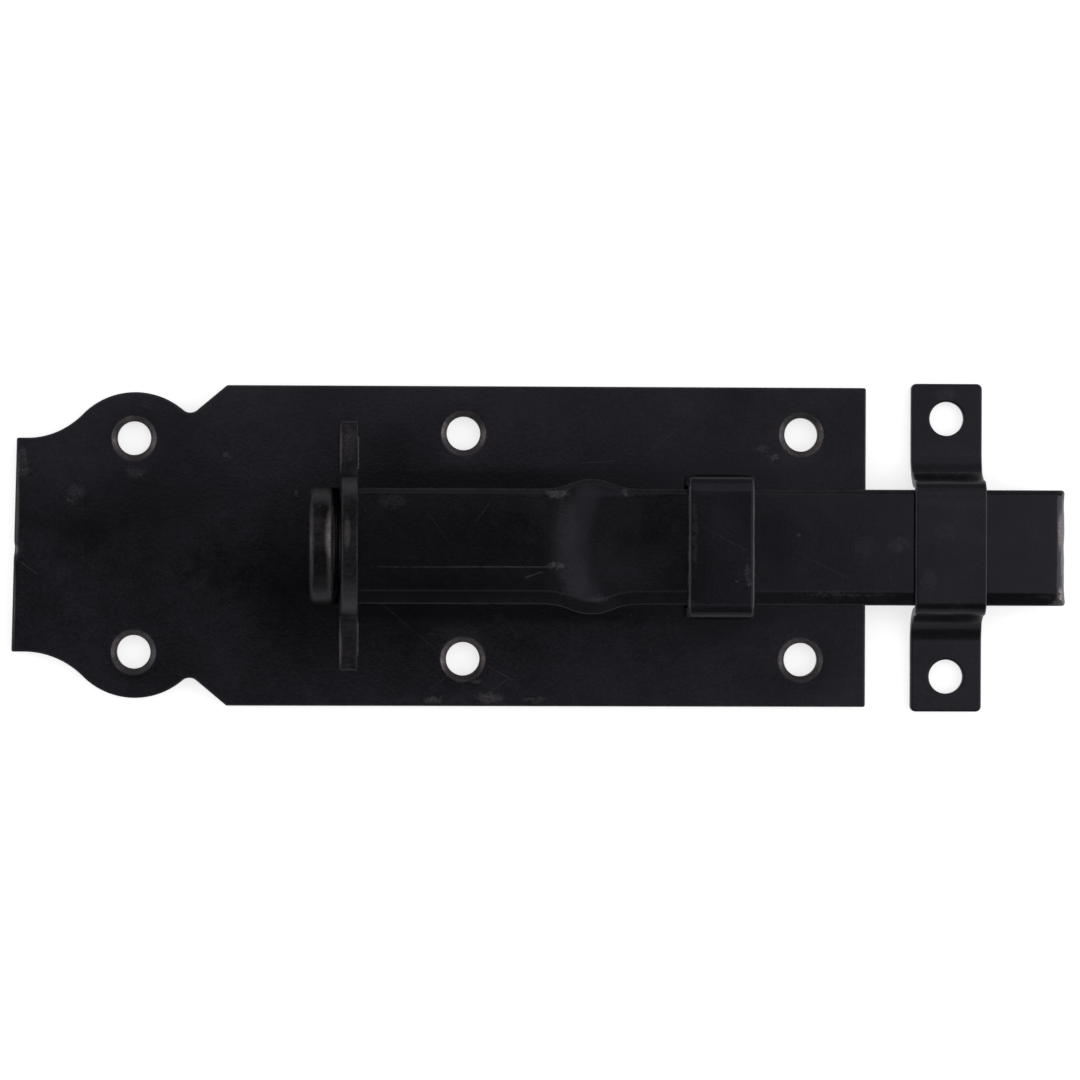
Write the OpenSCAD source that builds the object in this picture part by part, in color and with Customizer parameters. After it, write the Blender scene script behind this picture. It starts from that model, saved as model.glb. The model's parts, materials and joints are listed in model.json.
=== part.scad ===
// Padlockable slide bolt: a plate, a sliding bolt, a padlock staple, a guide loop and a keeper.
// Millimetres, +Z away from the door. The origin is the centre of the plate's back face, and the bolt is thrown towards +X.

/* [Base plate] */
// Length of the plate along the bolt
plate_length = 160; // [156:0.5:176]
// Width of the plate
plate_width = 60; // [58.5:0.5:66]
// Thickness of the plate
plate_thickness = 3; // [2.4:0.1:4]
// Width of the plate at its plain left end
end_width = 40; // [36:0.5:44]
// Straight run of each edge before the left end starts to flare
end_run = 2.3; // [1:0.1:4]
// Distance from the left end to the middle of the rounded lobes
lobe_from_end = 23; // [21.5:0.1:24]
// Width across the two rounded lobes
lobe_width = 57.2; // [54:0.2:58]
// Radius of each rounded lobe
lobe_radius = 13.7; // [12:0.1:14.5]
// Distance from the left end to the shoulder where the full width starts
shoulder_from_end = 40.1; // [39:0.1:43]
// Slope of the edge from the notch up to the shoulder
shoulder_slope = 40; // [36:1:46]
// Radius at the bottom of each notch
notch_radius = 2; // [1:0.1:2.6]

/* [Screw holes] */
// Diameter of the screw holes in the plate
screw_hole_d = 6.3; // [4:0.1:7]
// Diameter of the countersink at the plate's face
countersink_d = 8.4; // [7.2:0.1:10]
// Distance from the left end to the first pair of holes
first_pair_from_end = 22.75; // [21:0.25:24]
// Spacing across the plate of the first pair of holes
first_pair_spacing = 40; // [38:0.5:42]
// Distance from the left end to the middle pair of holes
middle_pair_from_end = 84.35; // [74:0.25:96]
// Distance between the middle and the last pair of holes
pair_step = 63.5; // [60:0.5:66]
// Spacing across the plate of the middle and last pairs of holes
pair_spacing = 42.3; // [40:0.1:44]

/* [Bolt] */
// Width of the bolt
bolt_width = 21.7; // [20:0.1:22]
// Thickness of the bolt
bolt_thickness = 4.5; // [4:0.1:5]
// Rounding of the bolt's upper edges
bolt_top_round = 1.5; // [0.8:0.1:1.8]
// Rounding of the bolt's lower edges
bolt_bottom_round = 0.6; // [0.3:0.1:1]
// How far the thrown bolt reaches past the plate
bolt_reach = 37.3; // [34:0.1:42]
// Inside radius where the bolt turns up into its lug
bolt_bend = 1.2; // [1:0.1:1.3]
// Width of the bevel across the upper edge of the tip
tip_bevel = 1.8; // [1:0.1:3]
// Depth of the bevel across the upper edge of the tip
tip_bevel_depth = 1; // [0.5:0.1:2]
// Distance from the left end of the plate to the stop bulge
bulge_from_end = 108.2; // [100:0.2:112]
// Half of the length of the stop bulge
bulge_half_length = 6.2; // [5.5:0.1:7]
// How far the stop bulge stands out of each edge
bulge_height = 1.9; // [1.6:0.1:2.2]
// Depth of the dish in the face between the bulges
dish_depth = 0.35; // [0.1:0.05:0.6]
// Radius of the rim of that dish
dish_radius = 8.6; // [6:0.2:9]

/* [Staple] */
// Distance from the left end of the plate to the staple
staple_from_end = 61.1; // [58:0.1:66]
// Thickness of the staple
staple_thickness = 3.6; // [3:0.1:4]
// Width across the staple's shoulders
staple_width = 46.5; // [42:0.5:52]
// Height of the shoulders above the plate
shoulder_height = 5.6; // [5:0.1:7]
// Width of the staple's padlock lug
staple_lug_width = 25.6; // [24:0.2:28]
// Radius between the shoulders and the lug
shoulder_fillet = 1.5; // [1:0.1:2.5]
// Height of the padlock holes above the plate
padlock_height = 12.8; // [12:0.1:15]
// Diameter of the padlock holes
padlock_hole_d = 11; // [8:0.5:11.5]
// Gap between the bolt's lug and the staple with the bolt thrown
lug_gap = 0.8; // [0.7:0.1:2]

/* [Guide loop and keeper] */
// Distance from the middle of the guide loop to the plate's right end
guide_from_end = 27.6; // [25:0.1:32]
// Width of the guide loop's strip
guide_strip = 12.5; // [10:0.5:14]
// Thickness of the guide loop's strip
guide_thickness = 2; // [1.6:0.1:2.4]
// Distance from the plate's right end to the middle of the keeper
keeper_from_plate = 15.4; // [10:0.1:24]
// Width of the keeper's strip
keeper_strip = 13.4; // [11:0.2:16]
// Thickness of the keeper's strip
keeper_thickness = 1.5; // [1.2:0.1:1.8]
// Radius where the keeper's legs sweep out into its tabs
keeper_sweep = 5; // [1.5:0.5:5]
// Length of the keeper over both tabs
keeper_length = 61.8; // [60:0.2:66]
// Spacing of the keeper's screw holes
keeper_spacing = 48.6; // [47:0.1:51]
// Diameter of the keeper's screw holes
keeper_hole_d = 6.4; // [4:0.1:7]

/* [Play] */
// Gap between the bolt and the face of the plate
under_play = 0.1; // [0.05:0.05:0.3]
// Gap above the bolt in the staple, the guide loop and the keeper
over_play = 0.3; // [0.2:0.05:0.5]
// Gap beside the bolt in the staple
staple_play = 0.65; // [0.4:0.05:0.8]
// Gap beside the bolt in the guide loop
guide_play = 0.6; // [0.3:0.05:0.8]
// Gap beside the bolt in the keeper
keeper_play = 0.35; // [0.2:0.05:0.6]

/* [Hidden] */
$fn = 72;
fine = 32;
over = 0.5;
// A hair of overlap, so that neighbouring arcs cross and don't just touch.
lap = 0.002;

left = -plate_length / 2;
bolt_z = plate_thickness + under_play;
bolt_top = bolt_z + bolt_thickness;
gap_top = bolt_top + over_play;
padlock_z = plate_thickness + padlock_height;
lug_face = left + staple_from_end - lug_gap;
bend_top = bolt_top + bolt_bend;
slot_half = bolt_width / 2 + staple_play;
tenon_in = slot_half + 2.6;
tenon_out = staple_width / 2 - 2.4;
guide_half = bolt_width / 2 + guide_play;
guide_top = gap_top + guide_thickness;
guide_tenon = guide_strip - 4;
guide_x = -left - guide_from_end;
keeper_x = -left + keeper_from_plate;

// Trims a corner to a radius: the corner is at the origin, and the material lies towards +X and +Y.
module corner_trim(r) {
    difference() {
        translate([-over, -over]) square(r + over);
        translate([r, r]) circle(r, $fn = fine);
        translate([r, -over]) square([over, r + over]);
    }
}

// Fills an inside corner to a radius: the open space lies towards +X and +Y.
module corner_fill(r) {
    difference() {
        translate([-over, -over]) square(r + over);
        translate([r, r]) circle(r, $fn = fine);
    }
}

// The section of the bolt, standing on the X axis, with its upper edges rounded more than its lower ones.
module bolt_section() {
    difference() {
        translate([-bolt_width / 2, 0]) square([bolt_width, bolt_thickness]);
        for (side = [0, 1]) mirror([side, 0]) {
            translate([-bolt_width / 2, 0]) corner_trim(bolt_bottom_round);
            translate([-bolt_width / 2, bolt_thickness]) mirror([0, 1]) corner_trim(bolt_top_round);
        }
    }
}

// Half of a section like the bolt's for turning: radius along X, thickness along Y.
module turned_section(r) {
    difference() {
        square([r, bolt_thickness]);
        translate([r, 0]) mirror([1, 0]) corner_trim(bolt_bottom_round);
        translate([r, bolt_thickness]) rotate(180) corner_trim(bolt_top_round);
    }
}

// The plate's outline, with its left end at the origin.
module plate_outline() {
    half = plate_width / 2;
    rise = lobe_width / 2 - end_width / 2;
    run = lobe_from_end - end_run;
    both = (run * run + rise * rise) / (2 * rise);
    hollow = both - lobe_radius;
    c1 = [end_run, end_width / 2 + hollow];
    c2 = [lobe_from_end, lobe_width / 2 - lobe_radius];
    in1 = c1 + (c2 - c1) * (hollow + over) / both;
    corner = [shoulder_from_end, half];
    along = [cos(shoulder_slope), sin(shoulder_slope)];
    out = [-along[1], along[0]];
    base = corner + notch_radius * out - c2;
    mid = base * along;
    t = -mid + sqrt(mid * mid - base * base + pow(lobe_radius + notch_radius, 2));
    f = corner + notch_radius * out + t * along;
    in2 = c2 + (f - c2) * (lobe_radius - over) / (lobe_radius + notch_radius);
    on_slope = f - notch_radius * out;

    difference() {
        translate([0, -half]) square([plate_length, plate_width]);
        for (side = [0, 1]) mirror([0, side]) difference() {
            union() {
                polygon([
                    [-1, end_width / 2], [end_run, end_width / 2], c1, in1, in2, f, on_slope, corner,
                    [corner[0], half + 1], [corner[0], c1[1] + 1], [-1, c1[1] + 1]
                ]);
                translate(c1) circle(hollow + lap);
                translate(f) circle(notch_radius + lap, $fn = fine);
            }
            translate(c2) circle(lobe_radius + lap);
        }
    }
}

module screw_hole(x, y, d, sink, t) {
    translate([x, y, 0]) {
        translate([0, 0, -1]) cylinder(d = d, h = t + 2);
        if (sink > d) translate([0, 0, t - (sink - d) / 2]) cylinder(d1 = d, d2 = sink + 2, h = (sink - d) / 2 + 1);
    }
}

module base_plate() {
    color([0.10, 0.10, 0.11]) difference() {
        translate([left, 0, 0]) linear_extrude(plate_thickness) plate_outline();
        for (side = [-1, 1]) {
            screw_hole(left + first_pair_from_end, side * first_pair_spacing / 2, screw_hole_d, countersink_d, plate_thickness);
            screw_hole(left + middle_pair_from_end, side * pair_spacing / 2, screw_hole_d, countersink_d, plate_thickness);
            screw_hole(left + middle_pair_from_end + pair_step, side * pair_spacing / 2, screw_hole_d, countersink_d, plate_thickness);
        }
        for (side = [0, 1]) mirror([0, side, 0]) {
            translate([left + staple_from_end, tenon_in, -1]) cube([staple_thickness, tenon_out - tenon_in, plate_thickness + 2]);
            translate([guide_x - guide_tenon / 2, guide_half, -1]) cube([guide_tenon, guide_thickness, plate_thickness + 2]);
        }
    }
}

// The sliding bar with its stop bulges, as far as the top of the bend at its left end.
module bolt() {
    start = lug_face + bolt_bend;
    tip = -left + bolt_reach;
    bulge_r = (bulge_half_length * bulge_half_length + bulge_height * bulge_height) / (2 * bulge_height);
    dish_r = (dish_radius * dish_radius + dish_depth * dish_depth) / (2 * dish_depth);

    color([0.12, 0.12, 0.14]) difference() {
        union() {
            translate([start, 0, bolt_z]) rotate([90, 0, 90]) linear_extrude(tip - start) bolt_section();
            for (side = [-1, 1])
                translate([left + bulge_from_end, side * (bolt_width / 2 + bulge_height - bulge_r), bolt_z])
                    rotate_extrude() turned_section(bulge_r);
            // The bend up into the lug.
            translate([start, 0, bend_top]) rotate([90, 0, 0]) rotate([0, 0, 180]) rotate_extrude(angle = 90)
                translate([bolt_bend + bolt_thickness, 0]) rotate(90) bolt_section();
        }
        translate([left + bulge_from_end, 0, 0]) intersection() {
            translate([0, 0, bolt_top - dish_depth + dish_r]) sphere(dish_r, $fn = 400);
            translate([0, 0, bolt_top - 1]) cylinder(r = dish_radius + 1, h = 2);
        }
        // The bevel across the tip.
        translate([tip, bolt_width, bolt_top]) rotate([90, 0, 0]) linear_extrude(2 * bolt_width)
            polygon([[-2 * tip_bevel, tip_bevel_depth], [0, -tip_bevel_depth], [1, -tip_bevel_depth], [1, tip_bevel_depth]]);
    }
}

// The bolt's turned-up end, one piece of metal with the bar, which takes the padlock.
module bolt_lug() {
    lug_back = lug_face - bolt_thickness;

    color([0.12, 0.12, 0.14]) difference() {
        union() {
            translate([lug_back, 0, bend_top]) linear_extrude(padlock_z - bend_top) rotate(-90) bolt_section();
            translate([lug_back, 0, padlock_z]) rotate([0, 90, 0]) rotate([0, 0, 90]) rotate_extrude(angle = 180)
                turned_section(bolt_width / 2);
        }
        translate([lug_back - 1, 0, padlock_z]) rotate([0, 90, 0]) cylinder(d = padlock_hole_d, h = bolt_thickness + 2);
    }
}

module staple() {
    lug_half = staple_lug_width / 2;
    shoulder_z = plate_thickness + shoulder_height;

    color([0.13, 0.13, 0.14]) translate([left + staple_from_end, 0, 0]) difference() {
        rotate([90, 0, 90]) linear_extrude(staple_thickness) difference() {
            union() {
                translate([-staple_width / 2, plate_thickness]) square([staple_width, shoulder_height]);
                translate([-lug_half, plate_thickness]) square([staple_lug_width, padlock_height]);
                translate([0, padlock_z]) circle(lug_half);
                for (side = [0, 1]) mirror([side, 0]) {
                    translate([lug_half, shoulder_z]) corner_fill(shoulder_fillet);
                    translate([tenon_in, 0]) square([tenon_out - tenon_in, plate_thickness + 1]);
                }
            }
            translate([-slot_half, -1]) difference() {
                square([2 * slot_half, gap_top + 1]);
                translate([0, gap_top + 1]) mirror([0, 1]) corner_trim(0.8);
                translate([2 * slot_half, gap_top + 1]) rotate(180) corner_trim(0.8);
            }
        }
        translate([-1, 0, padlock_z]) rotate([0, 90, 0]) cylinder(d = padlock_hole_d, h = staple_thickness + 2);
    }
}

module guide_loop() {
    shoulder = (guide_strip - guide_tenon) / 2;

    color([0.14, 0.14, 0.15]) translate([guide_x, 0, 0]) difference() {
        translate([-guide_strip / 2, 0, 0]) rotate([90, 0, 90]) linear_extrude(guide_strip) difference() {
            translate([-guide_half - guide_thickness, 0]) square([2 * (guide_half + guide_thickness), guide_top]);
            for (side = [0, 1]) mirror([side, 0])
                translate([guide_half + guide_thickness, guide_top]) rotate(180) corner_trim(2.4);
            translate([-guide_half, -1]) difference() {
                square([2 * guide_half, gap_top + 1]);
                translate([0, gap_top + 1]) mirror([0, 1]) corner_trim(0.6);
                translate([2 * guide_half, gap_top + 1]) rotate(180) corner_trim(0.6);
            }
        }
        // The legs narrow to tenons where they go through the plate.
        for (end = [0, 1]) mirror([end, 0, 0])
            translate([guide_tenon / 2, -guide_half - guide_thickness - 1, -1])
                cube([shoulder + 1, 2 * (guide_half + guide_thickness + 1), plate_thickness + 1]);
    }
}

module keeper() {
    inside = bolt_width / 2 + keeper_play;
    outside = inside + keeper_thickness;
    top = gap_top + keeper_thickness;
    half = keeper_length / 2;
    sweep = min(keeper_sweep, top - 2 * keeper_thickness - 1.4);

    color([0.15, 0.15, 0.17]) difference() {
        translate([keeper_x - keeper_strip / 2, 0, 0]) rotate([90, 0, 90]) linear_extrude(keeper_strip) difference() {
            union() {
                translate([-half, 0]) square([keeper_length, keeper_thickness]);
                difference() {
                    translate([-outside, 0]) square([2 * outside, top]);
                    for (side = [0, 1]) mirror([side, 0])
                        translate([outside, top]) rotate(180) corner_trim(keeper_thickness + 1);
                }
                for (side = [0, 1]) mirror([side, 0])
                    translate([outside, keeper_thickness]) corner_fill(sweep);
            }
            translate([-inside, -1]) difference() {
                square([2 * inside, gap_top + 1]);
                translate([0, gap_top + 1]) mirror([0, 1]) corner_trim(1);
                translate([2 * inside, gap_top + 1]) rotate(180) corner_trim(1);
            }
            for (side = [0, 1]) mirror([side, 0]) translate([inside, 0]) corner_trim(keeper_thickness + sweep);
        }
        for (side = [-1, 1]) screw_hole(keeper_x, side * keeper_spacing / 2, keeper_hole_d, 0, keeper_thickness);
        // The tabs' corners.
        for (i = [0, 1], j = [0, 1]) translate([keeper_x, 0, -1]) mirror([i, 0, 0]) mirror([0, j, 0])
            translate([-keeper_strip / 2, -half, 0]) linear_extrude(keeper_thickness + 2) corner_trim(1);
    }
}

base_plate();
bolt();
bolt_lug();
staple();
guide_loop();
keeper();
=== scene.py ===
import json
import math

import bpy
import numpy as np
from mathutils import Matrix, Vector
from mathutils.geometry import delaunay_2d_cdt


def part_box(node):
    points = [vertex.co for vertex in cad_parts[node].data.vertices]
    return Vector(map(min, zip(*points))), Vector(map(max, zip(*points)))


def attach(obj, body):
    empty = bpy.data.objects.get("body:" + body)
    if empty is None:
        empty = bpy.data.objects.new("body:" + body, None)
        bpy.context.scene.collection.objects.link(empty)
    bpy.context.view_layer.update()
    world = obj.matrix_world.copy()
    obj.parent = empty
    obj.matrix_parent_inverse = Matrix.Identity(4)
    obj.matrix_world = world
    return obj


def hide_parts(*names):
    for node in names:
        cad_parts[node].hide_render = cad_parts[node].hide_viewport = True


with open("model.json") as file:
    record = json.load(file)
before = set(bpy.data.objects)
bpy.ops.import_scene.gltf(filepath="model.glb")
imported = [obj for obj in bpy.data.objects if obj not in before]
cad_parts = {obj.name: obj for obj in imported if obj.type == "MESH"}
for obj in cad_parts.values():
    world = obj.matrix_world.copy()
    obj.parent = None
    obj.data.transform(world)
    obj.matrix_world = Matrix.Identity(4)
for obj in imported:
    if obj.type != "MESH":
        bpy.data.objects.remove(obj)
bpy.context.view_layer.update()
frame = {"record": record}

MM = 0.001


def mm_box(node):
    lo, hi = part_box(node)
    return np.array(lo) / MM, np.array(hi) / MM


PLATE_LO, PLATE_HI = mm_box("base_plate")
BOLT_LO, BOLT_HI = mm_box("bolt")
LUG_LO, LUG_HI = mm_box("bolt_lug")
STAPLE_LO, STAPLE_HI = mm_box("staple")
GUIDE_LO, GUIDE_HI = mm_box("guide_loop")
KEEP_LO, KEEP_HI = mm_box("keeper")
MOUNTS = {m["name"]: m for m in frame["record"]["mounts"]}
LEFT, RIGHT = PLATE_LO[0], PLATE_HI[0]
PLATE_T = PLATE_HI[2]
TIP_X = BOLT_HI[0]
LUG_X = (LUG_LO[0], LUG_HI[0])
STAPLE_X = (STAPLE_LO[0], STAPLE_HI[0])


# ---------------------------------------------------------------- outlines
class Loop:
    """A closed outline with the metal on its left. Each point knows where it goes when the edge is set in by d."""

    def __init__(self):
        self.p, self.n, self.r, self.c, self.m = [], [], [], [], []
        self.k = None

    def add(self, p, n, r=0.0, c=(0.0, 0.0), m=(0.0, 0.0)):
        self.p.append(p)
        self.n.append(n)
        self.r.append(r)
        self.c.append(c)
        self.m.append(m)

    def inset(self, d):
        p, n, r = np.array(self.p, float), np.array(self.n, float), np.array(self.r, float)[:, None]
        if self.k is not None:
            d = d * np.array(self.k, float)[:, None]
        c, m = np.array(self.c, float), np.array(self.m, float)
        plain = p - n * d
        turned = c + n * np.maximum(r - d, 0) - np.maximum(d - r, 0) * m
        return np.where(r > 0, turned, plain)

    def line(self, a, b, step):
        a, b = np.array(a, float), np.array(b, float)
        length = np.linalg.norm(b - a)
        if length < 1e-9:
            return
        u = (b - a) / length
        at = 0.0
        while at < length - 1e-6:
            q = a + u * at
            self.add(tuple(q), (u[1], -u[0]))
            at += step(q) if callable(step) else step

    def arc(self, c, r, a0, a1, step):
        """Metal lies inside a circle turned anticlockwise, and outside one turned clockwise."""
        sign = 1 if a1 > a0 else -1
        k = max(3, int(abs(a1 - a0) * r / step))
        for i in range(k):
            a = a0 + (a1 - a0) * i / k
            self.add((c[0] + r * math.cos(a), c[1] + r * math.sin(a)), (sign * math.cos(a), sign * math.sin(a)))

    def corner(self, p, n1, n2, r, k=5):
        n1, n2 = np.array(n1, float), np.array(n2, float)
        m = (n1 + n2) / (1 + n1 @ n2)
        turn = n1[0] * n2[1] - n1[1] * n2[0]
        a0, span = math.atan2(n1[1], n1[0]), math.atan2(turn, n1 @ n2)
        c = np.array(p) - m * r if turn > 0 else np.array(p) + m * r
        for i in range(k + 1):
            a = a0 + span * i / k
            n = np.array([math.cos(a), math.sin(a)])
            if turn > 0:
                self.add(tuple(c + n * r), tuple(n), r, tuple(c), tuple(m))
            else:
                self.add(tuple(c - n * r), tuple(n))


def rounded(points, step):
    """A loop through corners (x, y, radius) with straight edges between them. A corner may be a list of ready points instead."""
    loop = Loop()
    pts = [np.array(q[:2], float) for q in points]
    k = len(pts)
    out = []
    for i in range(k):
        u = pts[(i + 1) % k] - pts[i]
        u /= np.linalg.norm(u)
        out.append(np.array([u[1], -u[0]]))
    trim = []
    for i in range(k):
        n1, n2 = out[i - 1], out[i]
        cosine = float(np.clip(n1 @ n2, -1, 1))
        trim.append(points[i][2] * math.tan(math.acos(cosine) / 2))
    for i in range(k):
        if points[i][2] > 0 and abs(out[i - 1][0] * out[i][1] - out[i - 1][1] * out[i][0]) > 1e-6:
            loop.corner(pts[i], out[i - 1], out[i], points[i][2], k=max(4, int(points[i][2] * 3)))
        u = (pts[(i + 1) % k] - pts[i]) / np.linalg.norm(pts[(i + 1) % k] - pts[i])
        a, b = pts[i] + u * trim[i], pts[(i + 1) % k] - u * trim[(i + 1) % k]
        if points[i][2] > 0:
            a = a + u * 0.15
        loop.line(a, b, step)
    return loop


def circle(c, r, k=56):
    loop = Loop()
    for i in range(k):
        a = -2 * math.pi * i / k
        loop.add((c[0] + r * math.cos(a), c[1] + r * math.sin(a)), (-math.cos(a), -math.sin(a)))
    return loop


def quarter(r, k, at_top, t, deep=None):
    """Rings of a rounded edge: (how far in, how high)."""
    made = []
    deep = deep or r
    for i in range(k + 1):
        a = math.pi / 2 * i / k
        if at_top:
            made.append((r * (1 - math.cos(a)), t - deep * (1 - math.sin(a))))
        else:
            made.append((r * (1 - math.sin(a)), deep * (1 - math.cos(a))))
    return made


def edge(t, low, high, k_low=3, k_high=5, mid=2, rough=0.0, deep=None):
    """Rings of a whole edge from the bottom face to the top one, with a ring just inside each face to keep it flat."""
    bottom = quarter(low, k_low, False, t)
    top = quarter(high, k_high, True, t, deep)
    between = []
    for i in range(1, mid + 1):
        f = i / (mid + 1)
        between.append((rough * math.sin(math.pi * f), low + (t - low - (deep or high)) * f))
    return [(low + 0.16, 0.0)] + bottom + between + top + [(high + 0.16, t)]


def sink(r, r_top, t, soft=0.12):
    """Rings of a countersunk hole, set in from its own radius."""
    d = r_top - r
    h = 0.8 * d
    return [(0.3, 0.0), (0.14, 0.0), (0.0, 0.12), (0.0, (t - d) * 0.5), (0.0, t - h), (d * 0.33, t - h * 0.67), (d * 0.66, t - h * 0.34),
            (d - soft * 0.5, t - soft * 0.5), (d + soft * 0.3, t - soft * 0.08), (d + soft, t), (d + soft + 0.14, t)]


def inside(points, poly):
    x, y = points[:, 0][:, None], points[:, 1][:, None]
    x1, y1 = poly[:, 0][None, :], poly[:, 1][None, :]
    x2, y2 = np.roll(poly[:, 0], -1)[None, :], np.roll(poly[:, 1], -1)[None, :]
    cross = ((y1 > y) != (y2 > y)) & (x < (x2 - x1) * (y - y1) / np.where(y2 == y1, 1e-12, y2 - y1) + x1)
    return cross.sum(1) % 2 == 1


def blank(name, outer, rings, holes, columns, row_step, shape, materials, side_slot=0, wear_and_highlight=None):
    """A flat blank with worked edges, bent to its place by shape(x, y, z) -> X, Y, Z in millimetres."""
    loops = [(outer, rings)] + holes
    verts, faces, slots, wear = [], [], [], []
    caps = {0: [], 1: []}
    for loop, rr in loops:
        base = len(verts)
        k = len(loop.p)
        far = max(d for d, z in rr)
        for j, (d, z) in enumerate(rr):
            q = loop.inset(d)
            w = 0.0 if j in (0, len(rr) - 1) else max(0.0, 1 - 1.7 * d / far) * (1.0 if loop is outer else 0.8)
            if loop is not outer and far > 1.0:
                w = 1.2 if 0 < j < len(rr) - 3 else 0.0
            elif loop is not outer and far < 0.4:
                w = 0.0
            for x, y in q:
                verts.append((x, y, z))
                wear.append(w * (wear_and_highlight(x, y) if wear_and_highlight else 1.0))
        for j in range(len(rr) - 1):
            for i in range(k):
                a, b = base + j * k + i, base + j * k + (i + 1) % k
                faces.append((a, b, b + k, a + k))
                slots.append(side_slot if 1 <= j < len(rr) - 2 else 0)
        caps[0].append([base + i for i in range(k)])
        caps[1].append([base + (len(rr) - 1) * k + i for i in range(k)])
    for side in (0, 1):
        ids, flat, edges = [], [], []
        for ring in caps[side]:
            s = len(ids)
            ids += ring
            flat += [(verts[i][0], verts[i][1]) for i in ring]
            edges += [(s + i, s + (i + 1) % len(ring)) for i in range(len(ring))]
        z = verts[caps[side][0][0]][2]
        lo, hi = np.min(flat, 0), np.max(flat, 0)
        cols = np.array([c for c in columns if lo[0] < c < hi[0]])
        rows = max(2, int((hi[1] - lo[1]) / row_step))
        grid = []
        for i, c in enumerate(cols):
            shift = 0.5 if i % 2 else 0.0
            grid += [(c, lo[1] + (hi[1] - lo[1]) * (j + shift) / rows) for j in range(rows + 1)]
        grid = np.array(grid)
        keep = np.ones(len(grid), bool)
        for n_loop, ring in enumerate(caps[side]):
            poly = np.array([(verts[i][0], verts[i][1]) for i in ring])
            within = inside(grid, poly)
            keep &= within if n_loop == 0 else ~within
            near = np.min(np.hypot(grid[:, 0][:, None] - poly[:, 0], grid[:, 1][:, None] - poly[:, 1]), 1)
            keep &= near > 0.28
        grid = grid[keep]
        out = delaunay_2d_cdt([Vector(q) for q in flat] + [Vector(q) for q in grid.tolist()], edges, [], 0, 1e-7, True)
        points = np.array([tuple(q) for q in out[0]])
        index = []
        for q, orig in zip(out[0], out[3]):
            old = [o for o in orig if o < len(ids)]
            if old:
                index.append(ids[old[0]])
            else:
                index.append(len(verts))
                verts.append((q[0], q[1], z))
                wear.append(0.0)
        tris = [f for f in out[2] if len(f) == 3]
        centres = np.array([points[list(f)].mean(0) for f in tris])
        ok = np.ones(len(tris), bool)
        for n_loop, ring in enumerate(caps[side]):
            poly = np.array([(verts[i][0], verts[i][1]) for i in ring])
            within = inside(centres, poly)
            ok &= within if n_loop == 0 else ~within
        for f, good in zip(tris, ok):
            if good:
                a, b, c = (index[i] for i in f)
                pa, pb, pc = (np.array(verts[i][:2]) for i in (a, b, c))
                up = (pb[0] - pa[0]) * (pc[1] - pa[1]) - (pb[1] - pa[1]) * (pc[0] - pa[0]) > 0
                faces.append((a, b, c) if up == (side == 1) else (a, c, b))
                slots.append(0)
    v = np.array(verts, float)
    X, Y, Z = shape(v[:, 0], v[:, 1], v[:, 2])
    mesh = bpy.data.meshes.new(name)
    mesh.from_pydata((np.stack([X, Y, Z], 1) * MM).tolist(), [], faces)
    for m in materials:
        mesh.materials.append(m)
    mesh.polygons.foreach_set("material_index", np.array(slots, np.int32))
    mesh.polygons.foreach_set("use_smooth", np.ones(len(faces), bool))
    layer = mesh.attributes.new("edge", "FLOAT", "POINT")
    layer.data.foreach_set("value", np.array(wear, np.float32))
    mesh.validate()
    mesh.update()
    obj = bpy.data.objects.new(name, mesh)
    bpy.context.scene.collection.objects.link(obj)
    weld(obj)
    return obj


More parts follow.
